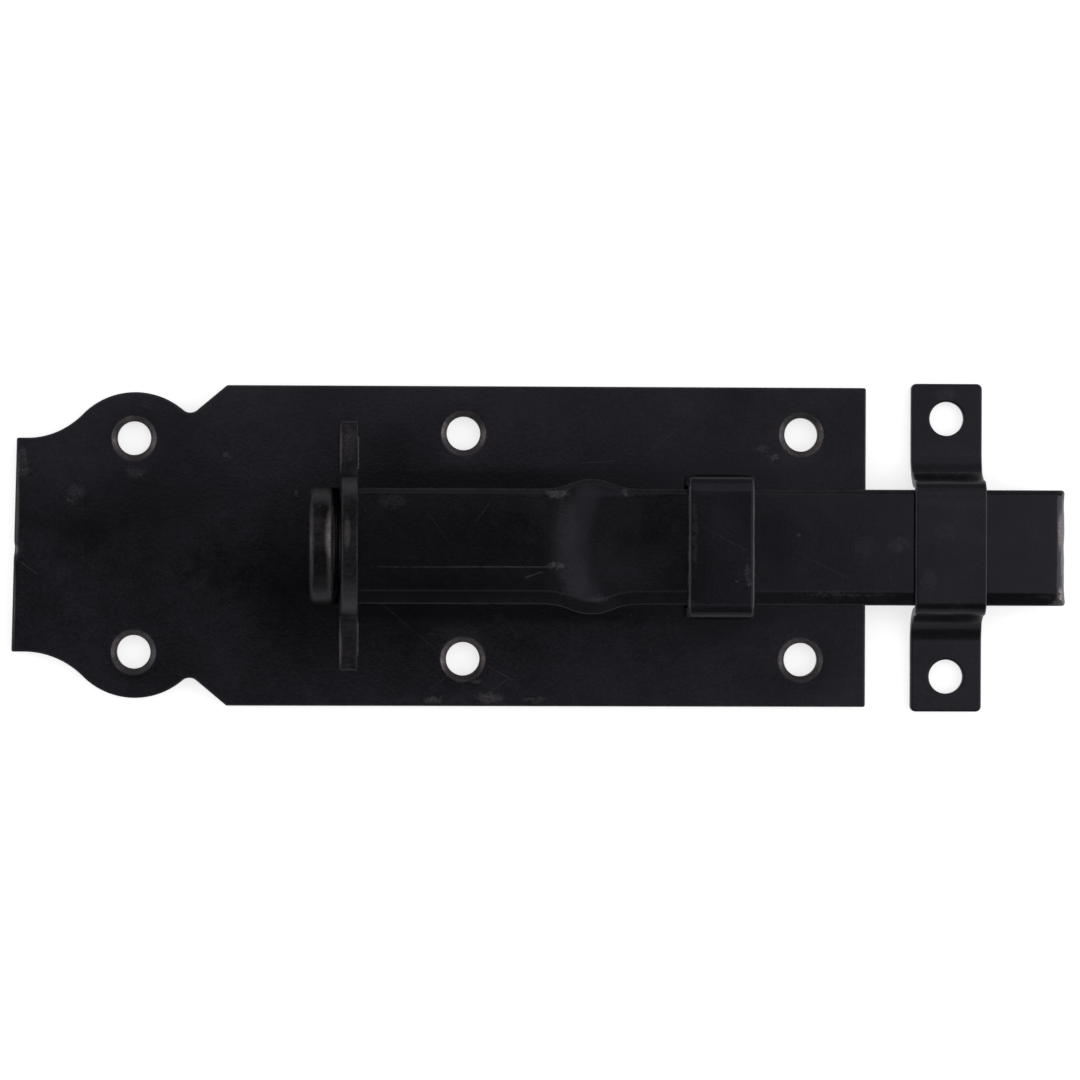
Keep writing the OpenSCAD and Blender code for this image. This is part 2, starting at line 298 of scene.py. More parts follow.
def weld(obj):
    import bmesh

    bm = bmesh.new()
    bm.from_mesh(obj.data)
    bmesh.ops.remove_doubles(bm, verts=bm.verts, dist=2e-6)
    bmesh.ops.dissolve_degenerate(bm, edges=bm.edges, dist=1e-7)
    loose = [f for f in bm.faces if all(len(e.link_faces) == 1 for e in f.edges)]
    bmesh.ops.delete(bm, geom=loose, context="FACES")
    # Where a long side skips a point in a straight row, it is split there and joined to it.
    for _ in range(4):
        rim = [e for e in bm.edges if len(e.link_faces) == 1]
        ends = sorted({v for e in rim for v in e.verts}, key=lambda v: v.index)
        cuts = []
        for e in rim:
            p, d = e.verts[0].co.copy(), e.verts[1].co - e.verts[0].co
            on = [((v.co - p).dot(d) / d.length_squared, v) for v in ends if v not in e.verts]
            on = [(t, v) for t, v in on if 0.001 < t < 0.999 and (p + d * t - v.co).length < 3e-6]
            if on:
                t, v = min(on, key=lambda c: c[0])
                cuts.append((e, t, v.co.copy()))
        if not cuts:
            break
        for e, t, co in cuts:
            bmesh.utils.edge_split(e, e.verts[0], t)[1].co = co
        bmesh.ops.remove_doubles(bm, verts=bm.verts, dist=2e-6)
        bm.verts.index_update()
    # A point that only one face knows is drawn into its neighbour.
    for _ in range(4):
        target = {}
        for v in bm.verts:
            if len(v.link_edges) == 2:
                near = min((e.other_vert(v) for e in v.link_edges), key=lambda w: (w.co - v.co).length)
                if near not in target and v not in target.values():
                    target[v] = near
        if not target:
            break
        bmesh.ops.weld_verts(bm, targetmap=target)
    # A face with a point in the middle of a straight side is cut from that point, so that no triangle of it is flat.
    todo = [f for f in bm.faces if len(f.verts) > 3]
    while todo:
        f = todo.pop()
        if len(f.verts) < 4:
            continue
        for loop in f.loops:
            v, before, after = loop.vert, loop.link_loop_prev.vert, loop.link_loop_next.vert
            d1, d2 = v.co - before.co, after.co - v.co
            if d1.cross(d2).length < 0.004 * d1.length * d2.length:
                across = (after.co - before.co).normalized()
                far = max((w for w in f.verts if w not in (v, before, after)), key=lambda w: (w.co - v.co).cross(across).length)
                new = bmesh.utils.face_split(f, v, far)
                todo += [f] + ([new[0]] if new and new[0] else [])
                break
    filled = bmesh.ops.holes_fill(bm, edges=[e for e in bm.edges if len(e.link_faces) == 1], sides=8)
    for f in filled["faces"]:
        f.smooth = True
    bmesh.ops.recalc_face_normals(bm, faces=bm.faces)
    bm.to_mesh(obj.data)
    bm.free()


def lump(x, y, seed, size):
    """A smooth, slow, repeatable ripple between about -1 and 1."""
    total = 0.0
    rng = np.random.default_rng(seed)
    for i in range(7):
        a, ph = rng.uniform(0, 2 * math.pi), rng.uniform(0, 2 * math.pi)
        k = 2 * math.pi / (size * rng.uniform(0.7, 1.7))
        total = total + np.sin(k * (x * math.cos(a) + y * math.sin(a)) + ph)
    return total / 3.2


# ---------------------------------------------------------------- materials
class Nodes:
    def __init__(self, tree):
        self.t = tree

    def new(self, kind, **values):
        n = self.t.nodes.new(kind)
        for k, v in values.items():
            setattr(n, k, v)
        return n

    def link(self, a, b):
        self.t.links.new(a, b)

    def put(self, value, socket):
        if isinstance(value, bpy.types.NodeSocket):
            self.link(value, socket)
        else:
            socket.default_value = value

    def math(self, op, a, b=0.0, c=0.0, clamp=False):
        n = self.new("ShaderNodeMath", operation=op, use_clamp=clamp)
        self.put(a, n.inputs[0])
        self.put(b, n.inputs[1])
        self.put(c, n.inputs[2])
        return n.outputs[0]

    def vmath(self, op, a, b=(0, 0, 0), out=0):
        n = self.new("ShaderNodeVectorMath", operation=op)
        self.put(a, n.inputs[0])
        self.put(b, n.inputs[1])
        return n.outputs[out]

    def ramp(self, value, lo, hi, a=0.0, b=1.0, smooth=True):
        n = self.new("ShaderNodeMapRange", interpolation_type="SMOOTHSTEP" if smooth else "LINEAR")
        self.put(value, n.inputs["Value"])
        self.put(lo, n.inputs["From Min"])
        self.put(hi, n.inputs["From Max"])
        self.put(a, n.inputs["To Min"])
        self.put(b, n.inputs["To Max"])
        return n.outputs["Result"]

    def noise(self, vec, scale, detail=2.0, rough=0.5, distort=0.0, out="Fac"):
        n = self.new("ShaderNodeTexNoise")
        self.put(vec, n.inputs["Vector"])
        n.inputs["Scale"].default_value = scale
        n.inputs["Detail"].default_value = detail
        n.inputs["Roughness"].default_value = rough
        n.inputs["Distortion"].default_value = distort
        return n.outputs[out]

    def mapping(self, vec, loc=(0, 0, 0), rot=(0, 0, 0), scale=(1, 1, 1)):
        n = self.new("ShaderNodeMapping")
        self.put(vec, n.inputs["Vector"])
        n.inputs["Location"].default_value = loc
        n.inputs["Rotation"].default_value = rot
        n.inputs["Scale"].default_value = scale
        return n.outputs["Vector"]

    def mix(self, fac, a, b):
        n = self.new("ShaderNodeMix", data_type="RGBA")
        self.put(fac, n.inputs[0])
        for s, v in ((n.inputs[6], a), (n.inputs[7], b)):
            self.put(v if isinstance(v, bpy.types.NodeSocket) or len(v) == 4 else (*v, 1.0), s)
        return n.outputs[2]

    def mixf(self, fac, a, b):
        n = self.new("ShaderNodeMix", data_type="FLOAT")
        self.put(fac, n.inputs[0])
        self.put(a, n.inputs[2])
        self.put(b, n.inputs[3])
        return n.outputs[0]

    def strokes(self, vec, angle, long, thin, share, seed):
        """Sparse straight scratches at one angle: long and thin are a cell's size in mm, and share is how many cells hold one."""
        turned = self.mapping(vec, loc=(seed * 3.7, seed * 1.3, seed), rot=(0, 0, angle))
        cells = self.mapping(turned, scale=(1 / long, 1 / thin, 0.05))
        v = self.new("ShaderNodeTexVoronoi", voronoi_dimensions="3D", feature="F1")
        self.put(cells, v.inputs["Vector"])
        v.inputs["Scale"].default_value = 1.0
        v.inputs["Randomness"].default_value = 1.0
        sep = self.new("ShaderNodeSeparateColor")
        self.link(v.outputs["Color"], sep.inputs[0])
        chosen = self.ramp(sep.outputs[0], 1 - share, 1 - share * 0.6)
        near = self.ramp(v.outputs["Distance"], 0.34, 0.06)
        return self.math("MULTIPLY", chosen, near)

    def segment(self, vec, a, b, width, fade=0.5):
        """1 near the straight line from a to b in X and Y, fading over its width."""
        ax, ay = a
        length = math.hypot(b[0] - ax, b[1] - ay)
        turned = self.mapping(self.vmath("SUBTRACT", vec, (ax, ay, 0)), rot=(0, 0, -math.atan2(b[1] - ay, b[0] - ax)))
        s = self.new("ShaderNodeSeparateXYZ")
        self.link(turned, s.inputs[0])
        across = self.ramp(self.math("ABSOLUTE", s.outputs[1]), width, width * (1 - fade))
        start = self.ramp(s.outputs[0], -0.1, length * 0.15)
        end = self.ramp(s.outputs[0], length + 0.1, length * 0.8)
        return self.math("MULTIPLY", across, self.math("MULTIPLY", start, end))

    def blob(self, vec, c, r, soft=0.6):
        """1 inside an ellipse of half-sizes r round c in X and Y."""
        v = self.vmath("MULTIPLY", self.vmath("SUBTRACT", vec, (*c, 0)), (1 / r[0], 1 / r[1], 0))
        return self.ramp(self.vmath("LENGTH", v, out=1), 1.0, 1 - soft)


def black_steel(name, dark=(0.0006, 0.0006, 0.0008), pale=(0.0060, 0.0055, 0.0066), rough=0.135, spread=0.07, grain=1.0,
                scratches=0.3, wear=0.5, specks=1.0, marks=(), sheared=False, tint=(0.19, 0.165, 0.16), bare_tint=(0.30, 0.265, 0.255), waves=0.0, level=0.5):
    """Blackened steel under a film of oil: a mottled dark finish that reflects softly, rubbed bare where the edge attribute is set."""
    mat = bpy.data.materials.new(name)
    mat.use_nodes = True
    t = mat.node_tree
    t.nodes.clear()
    k = Nodes(t)
    out = k.new("ShaderNodeOutputMaterial")
    p = k.new("ShaderNodeBsdfPrincipled")
    k.link(p.outputs[0], out.inputs[0])
    coord = k.new("ShaderNodeTexCoord").outputs["Object"]
    vec = k.vmath("MULTIPLY", coord, (1000.0, 1000.0, 1000.0))
    cloud = k.noise(vec, 0.05, 2, 0.5)
    patch = k.noise(vec, 0.30, 3, 0.6)
    fleck = k.noise(vec, 1.5, 3, 0.65)
    fine = k.noise(vec, 3.6, 2, 0.7)
    edge_at = k.new("ShaderNodeAttribute", attribute_name="edge").outputs["Fac"]

    tone = k.math("ADD", k.math("MULTIPLY", patch, 0.22), k.math("ADD", k.math("MULTIPLY", fleck, 0.30), k.math("MULTIPLY", fine, 0.48)))
    tone = k.math("ADD", k.math("MULTIPLY", k.math("SUBTRACT", cloud, 0.5), 0.5), tone)
    colour = k.mix(k.ramp(tone, 0.40, 0.63, smooth=False), dark, pale)

    lines = None
    for i, (angle, long, thin, share) in enumerate(((0.3, 11, 0.30, 0.020), (1.25, 8, 0.28, 0.016), (-0.75, 7, 0.26, 0.018), (2.35, 13, 0.30, 0.014), (0.02, 18, 0.30, 0.012))):
        st = k.math("MULTIPLY", k.strokes(vec, angle, long, thin, share, i + 1), (0.5, 0.9, 0.6, 1.0, 0.7)[i])
        lines = st if lines is None else k.math("MAXIMUM", lines, st)
    lines = k.math("MULTIPLY", lines, k.ramp(k.math("ADD", k.math("MULTIPLY", patch, 0.5), k.math("MULTIPLY", fleck, 0.5)), 0.42, 0.60, 0.12, 1.0))
    lines = k.math("MULTIPLY", lines, scratches)

    dust = None
    for scale, strength in ((0.55, 0.26), (1.25, 0.16)):
        dots = k.new("ShaderNodeTexVoronoi", feature="F1")
        k.link(k.vmath("ADD", vec, (7.3 * scale, 1.9, 0.4)), dots.inputs["Vector"])
        dots.inputs["Scale"].default_value = scale
        sep = k.new("ShaderNodeSeparateColor")
        k.link(dots.outputs["Color"], sep.inputs[0])
        radius = k.math("MULTIPLY", k.ramp(sep.outputs[1], 0.0, 1.0, 0.03, 0.12, smooth=False), scale)
        dot = k.math("MULTIPLY", k.ramp(k.math("SUBTRACT", dots.outputs["Distance"], radius), 0.05 * scale, -0.04 * scale), k.ramp(sep.outputs[0], 0.80, 1.0))
        dot = k.math("MULTIPLY", dot, strength * specks)
        dust = dot if dust is None else k.math("MAXIMUM", dust, dot)

    scrub = k.math("ADD", k.math("MULTIPLY", k.noise(k.mapping(vec, rot=(0, 0, 0.5), scale=(0.55, 1.6, 1.0)), 1.9, 4, 0.75), 0.6), k.math("MULTIPLY", fine, 0.4))
    shine = k.math("MAXIMUM", lines, dust)
    bare = shade = None
    ragged = k.vmath("ADD", vec, k.vmath("MULTIPLY", k.vmath("SUBTRACT", k.noise(vec, 0.75, 3, 0.7, out="Color"), (0.5, 0.5, 0.5)), (3.4, 3.4, 0.0)))
    wide = k.vmath("ADD", vec, k.vmath("MULTIPLY", k.vmath("SUBTRACT", k.noise(vec, 0.09, 2, 0.6, out="Color"), (0.5, 0.5, 0.5)), (16.0, 12.0, 0.0)))
    for kind, args, strength in marks:
        if kind == "line":
            m = k.segment(vec, *args)
        elif kind in ("scuff", "chip"):
            m = k.blob(ragged, *args)
        elif kind == "dark":
            m = k.blob(wide if args[1][1] > 5 else vec, *args, 1.0)
        else:
            m = k.blob(vec, *args)
        if kind == "scuff":
            m = k.math("MULTIPLY", m, k.ramp(scrub, 0.36, 0.66, 0.12, 1.0))
        elif kind in ("bare", "chip"):
            m = k.math("MULTIPLY", m, k.ramp(scrub, 0.28, 0.62, 0.35, 1.0))
        elif kind == "line":
            m = k.math("MULTIPLY", m, k.ramp(k.noise(vec, 1.1, 2, 0.6), 0.30, 0.55, 0.25, 1.0))
        m = k.math("MULTIPLY", m, strength)
        if kind == "dark":
            shade = m if shade is None else k.math("ADD", shade, m, clamp=True)
        elif kind in ("bare", "chip"):
            bare = m if bare is None else k.math("MAXIMUM", bare, m)
        else:
            shine = k.math("MAXIMUM", shine, m)
    # Marks of kind dark are painted shade: they pull the base colour towards black where shadows and dark reflections
    # fall on the part.
    if shade is not None:
        colour = k.mix(shade, colour, (0.0, 0.0, 0.0))
    colour = k.mix(shine, colour, (0.075, 0.069, 0.071))

    worn = k.ramp(k.math("ADD", k.math("MULTIPLY", fleck, 0.35), k.math("MULTIPLY", patch, 0.75)), 0.40, 0.80)
    # A countersink's fresh cut is bare all round.
    worn = k.math("MULTIPLY", edge_at, k.math("MAXIMUM", worn, k.ramp(edge_at, 1.05, 1.15, 0.0, 0.30)))
    worn = k.math("MULTIPLY", worn, wear)
    colour = k.mix(worn, colour, tint)
    if bare is not None:
        colour = k.mix(bare, colour, bare_tint)
        worn = k.math("MAXIMUM", worn, bare)
    k.link(colour, p.inputs["Base Color"])
    k.link(k.math("MULTIPLY", worn, 2.2, clamp=True), p.inputs["Metallic"])

    r = k.math("ADD", rough - spread * 0.5, k.math("MULTIPLY", k.math("ADD", k.math("MULTIPLY", patch, 0.5), k.math("MULTIPLY", fleck, 0.5)), spread))
    r = k.math("ADD", r, k.math("MULTIPLY", k.math("MAXIMUM", shine, worn), 0.24), clamp=True)
    # The film of oil is thin and uneven, so the gloss breaks up where it is seen along the surface.
    along = k.new("ShaderNodeLayerWeight")
    along.inputs["Blend"].default_value = 0.5
    r = k.math("ADD", r, k.math("MULTIPLY", k.ramp(along.outputs["Facing"], 0.03, 0.65), k.math("ADD", 0.14, k.math("MULTIPLY", patch, 0.22))), clamp=True)
    k.link(r, p.inputs["Roughness"])

    height = k.math("ADD", k.math("MULTIPLY", fleck, 0.9), k.math("MULTIPLY", fine, 0.30))
    height = k.math("SUBTRACT", height, k.math("MULTIPLY", lines, 0.8))
    if waves:
        height = k.math("ADD", height, k.math("MULTIPLY", patch, waves))
    if sheared:
        tear = k.noise(k.mapping(vec, scale=(1.0, 1.0, 0.55)), 2.0, 4, 0.7)
        height = k.math("ADD", height, k.math("MULTIPLY", tear, 16.0))
    bump = k.new("ShaderNodeBump")
    bump.inputs["Strength"].default_value = 1.0
    bump.inputs["Distance"].default_value = 0.0000046 * grain
    k.link(height, bump.inputs["Height"])
    k.link(bump.outputs[0], p.inputs["Normal"])
    p.inputs["IOR"].default_value = 1.34
    p.inputs["Specular IOR Level"].default_value = level
    p.inputs["Specular Tint"].default_value = (0.86, 0.82, 1.0, 1.0)
    return mat


# Painted shadow: soft dark strips on the plate along both long edges of the bolt.
painted_bolt_shadow = [("dark", ((x, sy * 12.5), (13.0, 3.4)), 0.8) for x in range(-12, 64, 9) for sy in (-1, 1)]
plate_mat = black_steel("plate_black", dark=(0.0, 0.0, 0.0), pale=(0.0070, 0.0064, 0.0078), rough=0.09, spread=0.05, wear=0.22, scratches=0.14, specks=1.3, marks=(
    ("line", ((5.2, -20.2), (14.2, -25.4), 0.11), 0.22),
    ("line", ((-13.5, -8.6), (6.0, -25.0), 0.07), 0.16),
    ("line", ((7.0, -22.6), (7.4, -25.9), 0.10), 0.18),
    ("line", ((9.6, -27.2), (13.4, -24.4), 0.12), 0.18),
    ("line", ((-2.0, -27.0), (1.2, -24.6), 0.09), 0.15),
    ("line", ((38.0, 16.6), (46.0, 23.4), 0.08), 0.13),
    ("line", ((26.0, 15.6), (34.0, 16.2), 0.12), 0.13),
    ("scuff", ((9.5, -28.4), (3.6, 1.2)), 0.55),
    ("scuff", ((-1.2, -28.8), (1.8, 0.9)), 0.6),
    ("scuff", ((18.0, -28.9), (3.0, 0.6)), 0.3),
    ("blob", ((7.0, -25.4), (1.2, 0.5)), 0.20),
    ("bare", ((-79.5, -0.8), (0.9, 1.5)), 0.9),
    ("bare", ((-79.3, 8.5), (0.9, 13.0)), 0.30),
    ("bare", ((-79.8, -9.0), (0.7, 11.5)), 0.42),
    ("scuff", ((-78.2, 15.6), (1.6, 3.6)), 0.35),
    ("scuff", ((62.6, 16.9), (1.3, 0.8)), 0.65),
    ("scuff", ((60.2, 18.6), (1.6, 0.8)), 0.25),
    ("scuff", ((-40.0, 16.9), (1.3, 0.8)), 0.35),
    ("blob", ((-39.9, 17.1), (0.5, 0.5)), 0.20),
    ("blob", ((-27.0, 9.9), (0.4, 0.7)), 0.22),
    ("scuff", ((-68.0, 10.0), (2.4, 1.6)), 0.22),
    ("scuff", ((-69.0, 8.0), (0.9, 0.9)), 0.35),
    ("scuff", ((-57.0, 13.6), (2.4, 1.2)), 0.25),
    ("blob", ((11.2, -13.4), (1.5, 1.2)), 0.035),
    ("line", ((-78.6, -3.0), (-74.8, -5.8), 0.09), 0.3),
    # Painted shade and painted reflection on the plate: dark clouds across its left half and by the lug, a dark patch
    # beside the staple's upper shoulder, and soft shadows either side of the guide loop's feet.
    ("dark", ((-68.0, 3.0), (13.0, 6.5)), 0.9),
    ("dark", ((-55.0, 8.0), (15.0, 8.5)), 0.9),
    ("dark", ((-43.0, 11.0), (12.0, 7.0)), 0.9),
    ("dark", ((-27.0, -8.0), (10.0, 12.0)), 0.8),
    ("dark", ((-9.0, 18.0), (9.0, 8.0)), 0.9),
    ("dark", ((52.4, 15.4), (12.0, 4.6)), 1.0),
    ("dark", ((52.4, -15.4), (12.0, 4.6)), 1.0),
    *painted_bolt_shadow,
))
plate_edge = black_steel("plate_edge", dark=(0.004, 0.0038, 0.0045), pale=(0.012, 0.011, 0.0125), rough=0.24, wear=0.4, scratches=0.1, sheared=True)
bolt_mat = black_steel("bolt_black", dark=(0.0001, 0.0001, 0.0001), pale=(0.0046, 0.0044, 0.0051), rough=0.10, spread=0.05, scratches=0.14, wear=0.55, tint=(0.075, 0.068, 0.072), bare_tint=(0.46, 0.42, 0.41), marks=(
    # Painted shade and painted reflection on the bar: darker along its lower half and left part, past the bulge, and
    # beside the guide loop.
    ("dark", ((0.0, -7.6), (30.0, 4.6)), 1.0),
    ("dark", ((0.0, 3.0), (24.0, 9.0)), 0.5),
    ("dark", ((36.5, 1.6), (7.5, 8.8)), 1.0),
    ("dark", ((62.0, 0.0), (6.0, 13.0)), 0.8),
    ("line", ((-14.5, -3.9), (24.0, -3.9), 0.15), 0.16),
    ("line", ((2.0, -3.75), (23.5, -3.8), 0.09), 0.30),
    ("scuff", ((21.9, -3.7), (2.4, 0.6)), 0.65),
    ("scuff", ((22.0, 9.9), (2.8, 0.9)), 0.60),
    ("scuff", ((23.4, 3.6), (2.6, 8.2)), 0.13),
    ("scuff", ((24.6, -6.0), (3.6, 5.2)), 0.12),
    # Painted highlight: a faint lighter patch across the bar just left of the bulge, where the forged slope catches
    # light.
    ("blob", ((23.2, 1.0), (3.6, 11.0)), 0.045),
    ("scuff", ((34.4, 10.0), (0.7, 0.35)), 0.7),
    ("scuff", ((30.0, -9.8), (2.4, 0.8)), 0.22),
    ("line", ((15.6, -5.9), (19.4, -4.6), 0.16), 0.22),
    ("line", ((6.0, 3.6), (9.6, 8.8), 0.08), 0.16),
    ("line", ((-2.6, 6.6), (1.8, 0.4), 0.07), 0.14),
    ("scuff", ((-9.0, 8.4), (3.4, 1.7)), 0.16),
    ("scuff", ((86.0, 0.6), (3.0, 1.7)), 0.22),
    ("scuff", ((79.6, 0.2), (3.2, 2.4)), 0.10),
    ("blob", ((67.0, 2.3), (0.5, 0.4)), 0.20),
    ("line", ((68.0, -1.7), (77.0, -6.0), 0.08), 0.14),
    ("scuff", ((76.0, -8.8), (12.0, 0.35)), 0.30),
    ("scuff", ((113.4, -9.2), (2.0, 0.8)), 0.14),
    ("bare", ((TIP_X - 0.15, 0.0), (1.15, 14.0)), 0.42),
    ("bare", ((TIP_X - 0.7, -9.2), (1.4, 2.6)), 0.32),
    ("bare", ((TIP_X - 1.0, 3.0), (0.9, 5.0)), 0.22),
    ("chip", ((TIP_X - 1.4, -10.6), (2.6, 0.6)), 0.14),
))
# The lug's finish is a copy of the bolt's that reflects about a third as strongly: painted shade on the lug and its
# bend, which are one bar with the bolt.
lug_mat = black_steel("lug_black", dark=(0.0, 0.0, 0.0), pale=(0.0060, 0.0056, 0.0064), rough=0.16, spread=0.08, scratches=0.1, wear=0.10, level=0.16, bare_tint=(0.34, 0.31, 0.305), marks=(
    ("bare", ((LUG_X[1] - 0.25, 1.8), (1.6, 6.8)), 0.40),
    ("bare", ((LUG_X[1] - 0.20, -1.0), (1.4, 11.4)), 0.16),
    ("bare", ((LUG_X[0] + 0.60, 0.0), (0.42, 9.6)), 0.10),
))
staple_mat = black_steel("staple_black", rough=0.17, wear=0.10, scratches=0.3)
staple_edge = black_steel("staple_edge", dark=(0.0006, 0.0006, 0.0007), pale=(0.0110, 0.0102, 0.0112), rough=0.22, spread=0.14, wear=0.05, scratches=0.1, sheared=True, level=0.22, marks=(
    # Painted shade: the staple's left face, deep in the narrow gap beside the lug, is darkened.
    ("dark", ((STAPLE_X[0] + 0.2, 0.0), (1.1, 14.0)), 1.0),
    ("bare", ((STAPLE_X[0] + 1.7, 2.4), (0.75, 3.8)), 0.12),
    ("bare", ((STAPLE_X[0] + 0.35, 18.4), (0.45, 5.0)), 0.09),
    ("bare", ((STAPLE_X[0] + 0.35, -19.0), (0.5, 4.6)), 0.13),
    ("scuff", ((STAPLE_X[0] + 1.9, 18.6), (1.5, 4.2)), 0.22),
))
guide_mat = black_steel("guide_black", dark=(0.0002, 0.0002, 0.0003), pale=(0.0034, 0.0031, 0.0038), rough=0.09, spread=0.05, wear=0.34, scratches=0.3, tint=(0.20, 0.17, 0.165), marks=(
    ("line", ((49.0, 3.7), (57.5, -0.9), 0.08), 0.16),
    ("scuff", ((57.3, -5.0), (0.7, 3.4)), 0.30),
    ("scuff", ((57.6, -6.9), (0.6, 0.6)), 0.6),
    ("scuff", ((47.4, 2.0), (0.5, 9.0)), 0.15),
    ("blob", ((55.2, -6.4), (0.4, 0.3)), 0.2),
))
keeper_mat = black_steel("keeper_black", dark=(0.0, 0.0, 0.0), pale=(0.0072, 0.0063, 0.0076), rough=0.13, wear=0.14, scratches=0.35, tint=(0.18, 0.15, 0.145), waves=1.0, marks=(
    # Painted shade: a darker band along the middle of the keeper's top.
    ("dark", ((95.4, 0.0), (10.0, 4.9)), 0.5),
    ("line", ((89.6, 2.4), (97.6, -1.6), 0.07), 0.13),
    ("line", ((100.6, 2.6), (101.6, 0.9), 0.08), 0.14),
    ("scuff", ((91.4, -6.0), (1.8, 2.8)), 0.16),
    ("scuff", ((94.2, 3.0), (3.4, 2.4)), 0.08),
    ("scuff", ((95.4, 28.8), (3.0, 1.2)), 0.18),
))


# ---------------------------------------------------------------- base plate
def plate_loop():
    half = PLATE_HI[1]
    end_half, end_run, lobe_x, lobe_half, lobe_r, shoulder_x, slope, notch = 20.0, 2.3, 23.0, 28.6, 13.7, 40.1, math.radians(40), 2.0
    rise, run = lobe_half - end_half, lobe_x - end_run
    both = (run * run + rise * rise) / (2 * rise)
    hollow = both - lobe_r
    c1, c2 = np.array([end_run, end_half + hollow]), np.array([lobe_x, lobe_half - lobe_r])
    along = np.array([math.cos(slope), math.sin(slope)])
    out = np.array([-along[1], along[0]])
    base = np.array([shoulder_x, half]) + notch * out - c2
    mid = base @ along
    t = -mid + math.sqrt(mid * mid - base @ base + (lobe_r + notch) ** 2)
    f = np.array([shoulder_x, half]) + notch * out + t * along
    loop = Loop()

    def ang(v):
        return math.atan2(v[1], v[0])

    def side(flip):
        """The upper side's points from right to left, or the lower side's from left to right, in the plate's own X."""
        made = Loop()
        made.line((160.0 - 0.4, half), (shoulder_x + 0.35, half), 1.0)
        made.corner((shoulder_x, half), (0, 1), (out[0], out[1]), 0.5)
        made.line(np.array([shoulder_x, half]) - along * 0.3, f - notch * out, 0.6)
        made.arc(tuple(f), notch, ang(-out), ang(c2 - f) - 2 * math.pi if ang(c2 - f) > ang(-out) else ang(c2 - f), 0.3)
        a0 = ang(f - c2)
        a1 = ang(c1 - c2)
        made.arc(tuple(c2), lobe_r, a0, a1, 0.55)
        b0 = ang(c2 - c1)
        made.arc(tuple(c1), hollow, b0, -math.pi / 2, 0.55)
        made.line((end_run, end_half), (0.35, end_half), 0.6)
        if not flip:
            return made
        back = Loop()
        for i in reversed(range(len(made.p))):
            m = made
            back.add((m.p[i][0], -m.p[i][1]), (m.n[i][0], -m.n[i][1]), m.r[i], (m.c[i][0], -m.c[i][1]), (m.m[i][0], -m.m[i][1]))
        return back

    top, low = side(False), side(True)
    loop.line((160.0, -half + 0.4), (160.0, half - 0.4), 1.0)
    loop.corner((160.0, half), (1, 0), (0, 1), 0.4)
    for i in range(len(top.p)):
        loop.add(top.p[i], top.n[i], top.r[i], top.c[i], top.m[i])
    loop.corner((0.0, end_half), (0, 1), (-1, 0), 0.35)
    loop.line((0.0, end_half - 0.4), (0.0, -end_half + 0.4), 1.0)
    loop.corner((0.0, -end_half), (-1, 0), (0, -1), 0.35)
    for i in range(len(low.p)):
        loop.add(low.p[i], low.n[i], low.r[i], low.c[i], low.m[i])
    loop.corner((160.0, -half), (0, -1), (1, 0), 0.4)
    loop.p = [(x + LEFT, y) for x, y in loop.p]
    loop.c = [(x + LEFT, y) for x, y in loop.c]
    return loop


def slot_hole(x0, x1, y0, y1, r=0.35):
    loop = Loop()
    for p, n1, n2 in (((x0, y0), (0, 1), (1, 0)), ((x0, y1), (1, 0), (0, -1)), ((x1, y1), (0, -1), (-1, 0)), ((x1, y0), (-1, 0), (0, 1))):
        loop.corner(p, n1, n2, r, k=4)
        q = {(x0, y0): (x0, y1), (x0, y1): (x1, y1), (x1, y1): (x1, y0), (x1, y0): (x0, y0)}[p]
        d = np.array(q, float) - np.array(p, float)
        d /= np.linalg.norm(d)
        a, b = np.array(p) + d * (r + 0.1), np.array(q) - d * (r + 0.02)
        steps = max(1, int(np.linalg.norm(b - a) / 0.8))
        for i in range(steps):
            s = a + (b - a) * i / steps
            loop.add(tuple(s), (n2[0], n2[1]))
    return loop


screw = MOUNTS["plate_screws_main"]["dims"]["hole_r_mm"]
centres = []
for m in ("plate_screws_end", "plate_screws_main"):
    d, pos = MOUNTS[m]["dims"], np.array(MOUNTS[m]["pos_m"]) / MM
    for sx in ((-1, 1) if "spacing_x_mm" in d else (0,)):
        for sy in (-1, 1):
            centres.append((pos[0] + sx * d.get("spacing_x_mm", 0) / 2, pos[1] + sy * d["spacing_y_mm"] / 2))
hole_rings = sink(screw, 4.2, PLATE_T)
slot_rings = [(0.36, 0.0), (0.2, 0.0), (0.06, 0.1), (0.0, 0.3), (0.0, 1.5), (0.0, PLATE_T - 0.03), (0.004, PLATE_T), (0.14, PLATE_T)]
TENON_IN, TENON_OUT = 14.1, 20.85
GUIDE_HALF, GUIDE_T, GUIDE_TENON = 11.45, 2.0, 8.5
GUIDE_X = (GUIDE_LO[0] + GUIDE_HI[0]) / 2
holes = [(circle(c, screw), hole_rings) for c in centres]
for s in (-1, 1):
    y = sorted((s * TENON_IN, s * TENON_OUT))
    holes.append((slot_hole(STAPLE_LO[0] - 0.02, STAPLE_HI[0] + 0.02, y[0] - 0.02, y[1] + 0.02), slot_rings))
    y = sorted((s * GUIDE_HALF, s * (GUIDE_HALF + GUIDE_T)))
    holes.append((slot_hole(GUIDE_X - GUIDE_TENON / 2 - 0.02, GUIDE_X + GUIDE_TENON / 2 + 0.02, y[0] - 0.02, y[1] + 0.02, 0.3), slot_rings))


